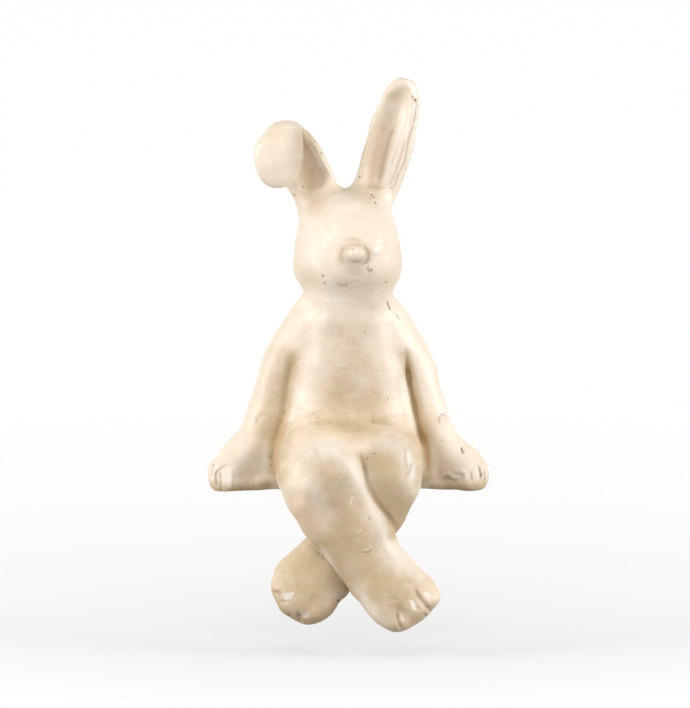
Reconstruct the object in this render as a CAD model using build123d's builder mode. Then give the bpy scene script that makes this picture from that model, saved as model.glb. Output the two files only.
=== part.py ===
from build123d import *
import os
from math import cos, pi, radians, sin

# A hand-built ceramic rabbit that sits on the edge of a shelf, with its legs crossed
# and hanging in front. It is made of clay sections luted together and fired hard, so
# nothing on it moves. It faces -Y and +Z is up. The origin is the middle of the seat,
# on the shelf. "Right" and "left" are the rabbit's own, so its right side is at -X.
# Every table of shares gives its stations in the order of the sizes named beside it.
# Every form is made of flat faces between the outlines of its stations, so that the mesh
# stays light.

# Shell of the torso and head
wall = 5.0
vent_bore = 7.0
vent_setback = 8.0

# Shelf that the figure sits on, from the origin to the shelf's front face
shelf_setback = 22.0

# Torso
hip_width = 67.0
hip_depth = 45.0
torso_height = 88.0

# Head, measured without the nose and ears
head_width = 49.6
head_height = 53.0
face_depth = 31.0
nape_depth = 22.0
head_sink = 4.5
head_lead = 2.0
face_turn = 3.4

# Nose
nose_width = 9.4
nose_height = 8.2
nose_depth = 8.0

# Upright ear
ear_length = 53.0
ear_width = 21.5
ear_thickness = 10.0
ear_root_offset = 12.6
ear_tilt = 15.5
ear_turn = 14.0
ear_hollow_depth = 4.2

# Folded ear
stem_length = 34.0
fold_width = 22.0
fold_thickness = 7.6
fold_root_offset = 13.5
flap_lead = 13.0
fold_hollow_depth = 3.2

# Arms
arm_reach = 64.0
shoulder_height = 78.0
arm_width = 16.0
arm_depth = 16.5
paw_lead = 9.0
paw_width = 18.0
paw_height = 13.0
web_thickness = 8.5
web_lead = 3.0

# Legs
leg_drop = 56.0
toe_lead = 34.0
stance_width = 66.0
calf_width = 36.0
calf_depth = 26.0
foot_width = 32.0
foot_depth = 14.0
toe_notch_width = 3.2
toe_notch_depth = 3.5
toe_notch_length = 10.0

# Tail
tail_diameter = 18.0
tail_height = 13.0

# Cutting tools run past the clay by this much
overrun = 20.0

# Flats round each kind of section
body_sides = 24
leg_sides = 16
arm_sides = 14
ear_sides = 14
ball_sides = 12
cavity_sides = 16

# Torso stations, up from the seat: shares of torso_height, hip_width, hip_depth,
# and the lean towards the back as a share of hip_depth
torso_shares = [
    (0.00, 0.90, 0.90, 0.00),
    (0.05, 0.98, 0.98, 0.00),
    (0.17, 1.00, 1.00, 0.00),
    (0.34, 0.94, 0.92, 0.03),
    (0.50, 0.84, 0.87, 0.02),
    (0.66, 0.77, 0.82, -0.02),
    (0.79, 0.73, 0.77, -0.04),
    (0.90, 0.69, 0.71, -0.05),
    (0.96, 0.60, 0.67, -0.04),
    (1.00, 0.56, 0.65, -0.03),
]

# Face-on outline of the head, down its side from the crown to the chin: shares of half
# the head's width and of half its height
head_outline_shares = [
    (0.00, 1.00),
    (0.32, 0.97),
    (0.62, 0.86),
    (0.82, 0.66),
    (0.90, 0.36),
    (0.95, 0.06),
    (1.00, -0.24),
    (0.95, -0.52),
    (0.78, -0.78),
    (0.45, -0.94),
    (0.00, -1.00),
]

# Slices of the head from the nape to the snout, as angles round its profile
head_slices = (-84, -72, -58, -44, -30, -15, 0, 14, 28, 42, 56, 70, 84)

# The same for the nose and the tail
ball_slices = (-75, -45, -15, 15, 45, 75)

# Arm stations from the shoulder to the paw: shares of arm_reach, paw_lead and
# shoulder_height, then of arm_width and arm_depth
arm_shares = [
    (0.220, 0.00, 1.000, 1.00, 1.05),
    (0.325, 0.00, 0.930, 1.05, 1.05),
    (0.425, 0.00, 0.825, 1.04, 1.02),
    (0.510, 0.05, 0.675, 1.02, 0.97),
    (0.575, 0.10, 0.480, 0.99, 0.94),
    (0.635, 0.20, 0.330, 0.98, 0.94),
    (0.735, 0.45, 0.195, 1.05, 1.05),
    (0.845, 0.80, 0.095, 1.20, 1.32),
    (0.930, 0.95, 0.062, 1.04, 1.20),
    (0.985, 1.00, 0.052, 0.64, 0.80),
]

# Stations of the front leg from the hip to the toes: shares of half the stance_width,
# of toe_lead ahead of the shelf, and of leg_drop above the seat, then of calf_width
# and calf_depth
front_leg_shares = [
    (-0.34, -0.62, 0.215, 0.60, 0.74),
    (-0.43, -0.22, 0.240, 0.84, 0.94),
    (-0.48, 0.10, 0.238, 0.96, 1.03),
    (-0.43, 0.34, 0.150, 0.99, 1.04),
    (-0.33, 0.44, 0.020, 1.00, 1.00),
    (-0.16, 0.46, -0.130, 0.99, 0.93),
    (0.07, 0.51, -0.300, 0.90, 0.86),
    (0.28, 0.60, -0.490, 0.84, 0.81),
    (0.51, 0.71, -0.670, 0.87, 0.76),
    (0.73, 0.84, -0.810, 0.93, 0.68),
    (0.91, 0.94, -0.900, 0.88, 0.54),
    (1.00, 1.00, -0.948, 0.62, 0.34),
]

# The same for the rear leg
rear_leg_shares = [
    (0.34, -0.62, 0.215, 0.60, 0.74),
    (0.44, -0.22, 0.236, 0.82, 0.92),
    (0.52, 0.10, 0.232, 0.92, 1.00),
    (0.49, 0.31, 0.145, 0.94, 0.98),
    (0.42, 0.37, 0.010, 0.95, 0.90),
    (0.25, 0.34, -0.150, 0.91, 0.80),
    (0.02, 0.33, -0.350, 0.85, 0.75),
    (-0.22, 0.37, -0.510, 0.82, 0.73),
    (-0.44, 0.46, -0.650, 0.87, 0.70),
    (-0.62, 0.58, -0.785, 0.90, 0.63),
    (-0.74, 0.69, -0.885, 0.77, 0.50),
    (-0.79, 0.75, -0.940, 0.53, 0.30),
]

# Places of the slots between the toes, as shares of half the foot's or paw's width
front_toe_shares = (-0.25, 0.35)
rear_toe_shares = (-0.35, 0.30)
paw_toe_shares = (-0.30, 0.30)

# Upright ear stations from the root to the tip: shares of ear_length, ear_width and
# ear_thickness, and the same for the hollow in its front
ear_shares = [
    (-0.08, 0.92, 1.10),
    (0.10, 0.98, 1.05),
    (0.35, 1.00, 0.95),
    (0.60, 0.97, 0.85),
    (0.78, 0.85, 0.75),
    (0.90, 0.62, 0.60),
    (0.97, 0.34, 0.40),
]
ear_hollow_shares = [
    (0.00, 0.40, 0.50),
    (0.15, 0.62, 0.95),
    (0.35, 0.68, 1.00),
    (0.60, 0.66, 0.95),
    (0.78, 0.54, 0.80),
    (0.90, 0.30, 0.50),
]

# Folded ear stations up the stem, over the fold and down the flap: shares of
# stem_length outwards and upwards, of flap_lead forwards, and of fold_width and
# fold_thickness
fold_shares = [
    (-0.05, -0.25, 0.00, 0.88, 1.18),
    (0.12, 0.12, 0.00, 0.97, 1.18),
    (0.25, 0.335, 0.00, 1.08, 1.00),
    (0.37, 0.55, 0.00, 1.03, 0.92),
    (0.45, 0.70, 0.07, 0.93, 0.94),
    (0.475, 0.785, 0.50, 0.82, 1.05),
    (0.505, 0.70, 0.93, 0.94, 1.05),
    (0.53, 0.52, 1.00, 1.04, 1.12),
    (0.54, 0.32, 0.98, 0.96, 1.05),
    (0.545, 0.16, 0.93, 0.72, 0.80),
    (0.55, 0.08, 0.88, 0.38, 0.42),
]

# Rise of the fold's crest towards the head, for each unit across
fold_side_share = 0.08

# Hollow in the front of the stem: shares as above, then of fold_width and of
# fold_hollow_depth twice over
fold_hollow_shares = [
    (0.04, 0.02, 0.36, 0.50),
    (0.08, 0.12, 0.60, 0.90),
    (0.22, 0.32, 0.66, 1.00),
    (0.34, 0.52, 0.64, 1.00),
    (0.40, 0.62, 0.52, 0.80),
]


# Pull of the nearer stations on a point halfway between them
curve_share = 9 / 16


def heading_at(points, index):
    """Direction of a limb at one of its stations, from the stations either side."""
    before = points[max(index - 1, 0)]
    after = points[min(index + 1, len(points) - 1)]
    return (after - before).normalized()


def across_plane(here, heading, side):
    """Plane square to a limb, with its first axis turned towards side."""
    across = (side - heading * side.dot(heading)).normalized()
    return Plane(origin=here, x_dir=across, z_dir=heading)


def oval(plane, width, depth, sides):
    """Corners of an oval section whose flats straddle its outline, width along the plane's first axis."""
    straddle = 2 / (1 + cos(pi / sides))
    corners = []
    for side in range(sides):
        angle = 2 * pi * (side + 0.5) / sides
        across = straddle * width / 2 * cos(angle)
        corners.append(plane.from_local_coords(Vector(across, straddle * depth / 2 * sin(angle))))
    return corners


def flat(*corners):
    """Flat face with these corners."""
    return Face(Wire.make_polygon(corners))


def clay(outlines):
    """Solid whose skin is flat triangles from one outline to the next, closed at both ends."""
    skin = [flat(*outlines[0]), flat(*outlines[-1])]
    for low, high in zip(outlines, outlines[1:]):
        for i, corner in enumerate(low):
            before = i - 1
            skin.append(flat(low[before], corner, high[i]))
            skin.append(flat(low[before], high[i], high[before]))
    return Solid(Shell(skin))


def eased(stations):
    """Stations with one more between each two, on a smooth curve through them all."""
    rows = [stations[0], *stations, stations[-1]]
    smooth = []
    for before, here, after, beyond in zip(rows, rows[1:], rows[2:], rows[3:]):
        smooth.append(here)
        smooth.append(
            tuple(
                curve_share * (b + c) - (curve_share - 1 / 2) * (a + d)
                for a, b, c, d in zip(before, here, after, beyond)
            )
        )
    return [*smooth, stations[-1]]


def limb_sections(points, widths, depths, side, sides):
    """One oval across a limb at each of its stations."""
    return [
        oval(across_plane(point, heading_at(points, i), side), widths[i], depths[i], sides)
        for i, point in enumerate(points)
    ]


def torso_sections(inset, sides):
    """Level ovals of the torso, drawn in by inset all round."""
    sections = []
    for up, across, deep, lean in eased(torso_shares):
        height = inset + up * (torso_height - 2 * inset)
        plane = Plane(origin=(0, lean * hip_depth, height))
        width = across * hip_width - 2 * inset
        depth = deep * hip_depth - 2 * inset
        sections.append(oval(plane, width, depth, sides))
    return sections


def head_section(angle, inset):
    """Slice of the head square to its length, its outline drawn in by inset."""
    lead = face_depth if angle > 0 else nape_depth
    lead -= inset
    turn = sin(radians(max(angle, 0)))
    slice_share = cos(radians(angle))
    half_width = (head_width / 2 - inset) * slice_share
    half_height = (head_height / 2 - inset) * slice_share
    centre = Vector(face_turn * turn, -head_lead - lead * sin(radians(angle)), head_centre)
    side = [(x * half_width, z * half_height) for x, z in head_outline_shares]
    other_side = [(-x, z) for x, z in reversed(side[1:-1])]
    return [centre + Vector(x, 0, z) for x, z in side + other_side]


def head_sections(inset, slices):
    """Slices of the head from the nape to the snout."""
    return [head_section(angle, inset) for angle in slices]


def leg_points(stations):
    """Places of a leg's stations."""
    return [
        Vector(across * stance_width / 2, -shelf_setback - ahead * toe_lead, up * leg_drop)
        for across, ahead, up, _, _ in eased(stations)
    ]


def leg_sections(stations):
    """Ovals across a leg at each of its stations."""
    widths = [station[3] * calf_width for station in eased(stations)]
    depths = [station[4] * calf_depth for station in eased(stations)]
    return limb_sections(leg_points(stations), widths, depths, Vector(1, 0, 0), leg_sides)


def toe_notches(points, top, width, height, side_shares):
    """Grooves that part the toes, run back from the tips along the top of a foot or paw."""
    heading = (points[-1] - points[-5]).normalized()
    plane = across_plane(points[-1] + heading * toe_notch_length, heading, top.cross(heading))
    groove = [
        (0, 0),
        (toe_notch_width, 2 * toe_notch_depth),
        (-toe_notch_width, 2 * toe_notch_depth),
    ]
    with BuildPart() as notches:
        with BuildSketch(plane):
            for share in side_shares:
                with Locations((share * width / 2, height / 2 - toe_notch_depth)):
                    Polygon(*groove, align=None)
        extrude(amount=-2 * toe_notch_length)
    return notches.part


def foot_notches(stations, side_shares):
    """Grooves between the toes of a foot, whose top faces forwards."""
    return toe_notches(leg_points(stations), Vector(0, -1, 0), foot_width, foot_depth, side_shares)


def ball_sections(centre, width, height, depth):
    """Slices of a ball of clay from its back to its front."""
    slices = []
    for angle in ball_slices:
        plane = Plane(
            origin=centre - Vector(0, depth / 2 * sin(radians(angle)), 0),
            x_dir=(1, 0, 0),
            z_dir=(0, -1, 0),
        )
        slice_share = cos(radians(angle))
        slices.append(oval(plane, width * slice_share, height * slice_share, ball_sides))
    return slices


def blade_sections(stations, lead):
    """Ovals up the upright ear's line, each moved forward by lead."""
    sections = []
    for up, across, thick in eased(stations):
        place = ear_line.offset(up * ear_length)
        origin = place.origin - place.y_dir * lead
        place = Plane(origin=origin, x_dir=place.x_dir, z_dir=place.z_dir)
        sections.append(oval(place, across * ear_width, thick * ear_thickness, ear_sides))
    return sections


head_centre = torso_height - head_sink + head_height / 2

# Room for the shelf: its top is under the seat and its front is behind the calves
with BuildPart() as shelf:
    with BuildSketch(Plane.XZ.offset(shelf_setback)):
        with Locations((0, -leg_drop)):
            Rectangle(2 * arm_reach + overrun, 2 * leg_drop)
    extrude(amount=-2 * (shelf_setback + hip_depth))

# Solid outer form of the torso, which every joined section is cut to
with BuildPart() as torso_form:
    add(clay(torso_sections(0, body_sides)))

with BuildPart() as torso_cavity:
    add(clay(torso_sections(wall, cavity_sides)))

# The neck is open between the torso and the head
with BuildPart() as neck_bore:
    neck_share = torso_shares[-1]
    neck_plane = Plane(origin=(0, neck_share[3] * hip_depth, torso_height - 2 * wall))
    neck_width = neck_share[1] * hip_width - 2 * wall
    neck_depth = neck_share[2] * hip_depth - 2 * wall
    neck_planes = [neck_plane, neck_plane.offset(4 * wall)]
    add(clay([oval(plane, neck_width, neck_depth, cavity_sides) for plane in neck_planes]))

with BuildPart() as torso:
    add(torso_form.part)
    add(torso_cavity.part, mode=Mode.SUBTRACT)
    add(neck_bore.part, mode=Mode.SUBTRACT)
    with BuildSketch(Plane.XY):
        with Locations((0, vent_setback)):
            Circle(vent_bore / 2)
    extrude(amount=2 * wall, mode=Mode.SUBTRACT)

with BuildPart() as head_form:
    add(clay(head_sections(0, head_slices)))

with BuildPart() as head_cavity:
    add(clay(head_sections(wall, head_slices[::2])))

with BuildPart() as head:
    add(head_form.part)
    add(head_cavity.part, mode=Mode.SUBTRACT)
    add(neck_bore.part, mode=Mode.SUBTRACT)
    add(torso_form.part, mode=Mode.SUBTRACT)

# Nose: a pressed ball of clay on the end of the snout
snout = Vector(face_turn, -head_lead - face_depth, head_centre)
with BuildPart() as nose:
    add(clay(ball_sections(snout, nose_width, nose_height, nose_depth)))
    add(head_form.part, mode=Mode.SUBTRACT)

# Upright ear: a blade with a long hollow pressed into its front
crown = head_centre + head_height / 2
ear_line = Plane(origin=(ear_root_offset, -head_lead, crown)).rotated((0, ear_tilt, -ear_turn))
with BuildPart() as upright_ear:
    add(clay(blade_sections(ear_shares, 0)))
    add(clay(blade_sections(ear_hollow_shares, ear_hollow_depth)), mode=Mode.SUBTRACT)
    add(head_form.part, mode=Mode.SUBTRACT)

# Folded ear: the blade bends over to the front, and its tip hangs back down
fold_stations = eased(fold_shares)
fold_points = [
    Vector(
        -fold_root_offset - out * stem_length,
        -head_lead - ahead * flap_lead,
        crown + up * stem_length,
    )
    for out, up, ahead, _, _ in fold_stations
]
fold_widths = [station[3] * fold_width for station in fold_stations]
fold_depths = [station[4] * fold_thickness for station in fold_stations]
fold_side = Vector(1, 0, fold_side_share)
hollow_stations = eased(fold_hollow_shares)
stem_front = -head_lead - fold_thickness / 2
hollow_points = [
    Vector(-fold_root_offset - out * stem_length, stem_front, crown + up * stem_length)
    for out, up, _, _ in hollow_stations
]
hollow_widths = [station[2] * fold_width for station in hollow_stations]
hollow_depths = [2 * station[3] * fold_hollow_depth for station in hollow_stations]
with BuildPart() as folded_ear:
    add(clay(limb_sections(fold_points, fold_widths, fold_depths, fold_side, ear_sides)))
    stem_hollow = limb_sections(hollow_points, hollow_widths, hollow_depths, fold_side, ear_sides)
    add(clay(stem_hollow), mode=Mode.SUBTRACT)
    add(head_form.part, mode=Mode.SUBTRACT)

# Legs: each starts inside the hip, bends over the shelf edge at the knee and ends in a foot
with BuildPart() as front_leg:
    add(clay(leg_sections(front_leg_shares)))
    add(torso_form.part, mode=Mode.SUBTRACT)
    add(shelf.part, mode=Mode.SUBTRACT)
    add(foot_notches(front_leg_shares, front_toe_shares), mode=Mode.SUBTRACT)

with BuildPart() as rear_leg:
    add(clay(leg_sections(rear_leg_shares)))
    add(torso_form.part, mode=Mode.SUBTRACT)
    add(shelf.part, mode=Mode.SUBTRACT)
    add(foot_notches(rear_leg_shares, rear_toe_shares), mode=Mode.SUBTRACT)
    add(front_leg.part, mode=Mode.SUBTRACT)

# Arms: each runs from the shoulder to a flat paw beside the hip, with a web of clay
# that fills the gap to the body
arm_stations = eased(arm_shares)
arm_points = [
    Vector(-out * arm_reach, -ahead * paw_lead, up * shoulder_height)
    for out, ahead, up, _, _ in arm_stations
]
arm_widths = [station[3] * arm_width for station in arm_stations]
arm_depths = [station[4] * arm_depth for station in arm_stations]
with BuildPart() as arm_form:
    add(clay(limb_sections(arm_points, arm_depths, arm_widths, Vector(0, 1, 0), arm_sides)))
    with BuildSketch(Plane.XZ.offset(web_lead)):
        with BuildLine():
            web_edge = [(point.X, point.Z) for point in arm_points[:-6:2]]
            Polyline(*web_edge, (web_edge[-1][0], 0), (0, 0), (0, shoulder_height), close=True)
        make_face()
    extrude(amount=web_thickness / 2, both=True)
    paw_notches = toe_notches(arm_points, Vector(0, 0, 1), paw_width, paw_height, paw_toe_shares)
    add(paw_notches, mode=Mode.SUBTRACT)
    add(shelf.part, mode=Mode.SUBTRACT)
    add(torso_form.part, mode=Mode.SUBTRACT)

with BuildPart() as right_arm:
    add(arm_form.part)
    add(front_leg.part, mode=Mode.SUBTRACT)

with BuildPart() as left_arm:
    mirror(arm_form.part, about=Plane.YZ)
    add(rear_leg.part, mode=Mode.SUBTRACT)

# Tail: a ball of clay low on the back
with BuildPart() as tail:
    tail_centre = Vector(0, hip_depth / 2, tail_height)
    add(clay(ball_sections(tail_centre, tail_diameter, tail_diameter, tail_diameter)))
    add(torso_form.part, mode=Mode.SUBTRACT)

pieces = {
    "torso": torso,
    "head": head,
    "nose": nose,
    "upright_ear": upright_ear,
    "folded_ear": folded_ear,
    "right_arm": right_arm,
    "left_arm": left_arm,
    "front_leg": front_leg,
    "rear_leg": rear_leg,
    "tail": tail,
}
os.makedirs("parts", exist_ok=True)
for name, piece in pieces.items():
    piece.part.label = name
    export_step(piece.part, f"parts/{name}.step")
    print(name, len(piece.part.solids()), round(piece.part.volume), piece.part.is_valid)
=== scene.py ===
import math

import bpy
import numpy as np
import openvdb as vdb
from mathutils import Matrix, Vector


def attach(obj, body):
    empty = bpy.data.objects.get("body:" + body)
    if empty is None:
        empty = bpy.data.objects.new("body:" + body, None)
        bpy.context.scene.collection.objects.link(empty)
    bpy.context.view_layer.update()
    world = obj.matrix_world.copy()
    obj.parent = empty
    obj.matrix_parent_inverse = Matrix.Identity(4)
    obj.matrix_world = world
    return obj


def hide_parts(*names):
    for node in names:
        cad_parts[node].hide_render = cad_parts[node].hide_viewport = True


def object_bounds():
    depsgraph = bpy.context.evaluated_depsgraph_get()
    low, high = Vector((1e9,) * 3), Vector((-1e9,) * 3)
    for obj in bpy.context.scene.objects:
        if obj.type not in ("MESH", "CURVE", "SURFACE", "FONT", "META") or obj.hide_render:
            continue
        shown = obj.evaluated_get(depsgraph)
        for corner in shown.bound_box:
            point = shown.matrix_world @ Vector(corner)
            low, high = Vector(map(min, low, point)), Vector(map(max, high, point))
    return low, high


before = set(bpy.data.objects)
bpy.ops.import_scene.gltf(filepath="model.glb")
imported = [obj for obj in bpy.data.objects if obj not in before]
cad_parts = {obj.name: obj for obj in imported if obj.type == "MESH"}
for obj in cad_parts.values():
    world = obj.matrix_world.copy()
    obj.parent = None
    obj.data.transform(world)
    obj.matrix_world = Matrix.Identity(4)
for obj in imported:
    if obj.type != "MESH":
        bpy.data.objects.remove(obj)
cad_low, cad_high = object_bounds()

# All modelling below is in millimetres, in the part's own frame. Distances to the surface
# of the clay are held on a grid of voxels, as far out and in as the reach.
MM = 1000.0
VOXEL = 0.5
REACH = 9.0

# The front view, a little from above: what is drawn on the front is placed in it
TILT = math.radians(6.0)
SIGHT = np.array((0.0, math.cos(TILT), -math.sin(TILT)))

# How much each clay section is softened
SOFTEN = {
    "torso": 3.4,
    "head": 3.2,
    "nose": 0.8,
    "upright_ear": 1.4,
    "folded_ear": 1.4,
    "right_arm": 2.2,
    "left_arm": 2.2,
    "front_leg": 2.4,
    "rear_leg": 2.4,
    "tail": 1.5,
}

# Boxes that close the way into the hollow, which nobody sees
STOPPERS = {
    "torso": [((-5, 3, 0), (5, 13, 4)), ((-14.6, -12, 83), (14.6, 9.2, 87.9))],
    "head": [((-14.6, -12, 88.1), (14.6, 9.2, 93))],
}

# Pads of clay worked over the joints: middle, half size, rounding, slope forwards, joint width
PADS = {
    "lap": ((0.5, -21.0, 20.6), (26.0, 13.0, 9.4), 9.0, 8.0, 8.0),
    "right_palm": ((-40.5, -3.0, 12.0), (13.0, 8.0, 12.0), 7.0, 0.0, 5.0),
    "left_palm": ((41.0, -3.0, 11.0), (12.0, 7.5, 11.0), 7.0, 0.0, 4.0),
    "throat": ((1.5, -9.5, 85.0), (14.0, 8.0, 11.0), 7.5, 25.0, 9.0),
    "right_elbow": ((-33.5, 0.5, 26.0), (6.0, 6.5, 10.0), 5.0, 0.0, 4.0),
}

# Rolls of clay that widen a section: section, from, to, radius, joint width
ROLLS = [
    ("front_leg", (-1.8, -37.5, 10.5), (8.7, -42.0, -17.0), 10.0, 6.0),
    ("front_leg", (-10.5, -33.5, 11.5), (-7.5, -36.0, 8.0), 14.5, 6.0),
    ("rear_leg", (15.5, -31.0, 11.0), (16.0, -32.5, 7.0), 13.6, 6.0),
]

# Vent hole in the seat, this far behind the middle
VENT_BACK = 8
VENT_RADIUS = 3.5
VENT_DEPTH = 12
VENT_MARGIN = 6
VENT_SPARE = 2

# The front of the figure, where grooves are pressed: ahead of it all, where a groove begins
# to show, where it has its full depth, and how far the view's tilt can shift it down and up
AHEAD = -70
GROOVE_SHOWS = 2
GROOVE_FULL = -4
SHIFT_DOWN = 3
SHIFT_UP = 9

# Marks pressed, cut and worn into the front, and painted highlights and shade on it. Places
# are in the front view: across from the middle and up from the seat. A negative depth stands
# proud.

# Grooves: half width, depth, path
PRESSED = [
    # fold of the belly over the lap
    (
        2.6, 0.45,
        [
            (-14.8, 30.5), (-10.2, 29.1), (-5.2, 27.5), (0.2, 26.8), (4.8, 27.0), (10.7, 28.2),
            (16.1, 29.5), (20.2, 30.2),
        ],
    ),
    # groove beside the right arm
    (
        2.2, 0.9,
        [
            (-24.5, 62.3), (-25.5, 56.8), (-26.4, 50.9), (-27.7, 43.2), (-29.0, 34.5), (-31.0, 26.5),
            (-33.2, 18.6), (-33.9, 9.1), (-34.3, 2.3),
        ],
    ),
    # groove beside the left arm
    (
        1.4, 1.5,
        [
            (25.5, 64.1), (27.5, 53.8), (28.9, 46.0), (30.9, 37.3), (32.8, 28.5), (34.8, 18.8),
            (35.4, 12.9), (35.7, 4.1),
        ],
    ),
    # hollow of the upright ear, nearer its right rim
    (
        3.4, 1.3,
        [
            (22.0, 179.5), (18.9, 173.6), (15.9, 164.5), (13.4, 155.4), (11.1, 146.3), (9.3, 139.5),
            (8.9, 134.1),
        ],
    ),
]

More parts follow.
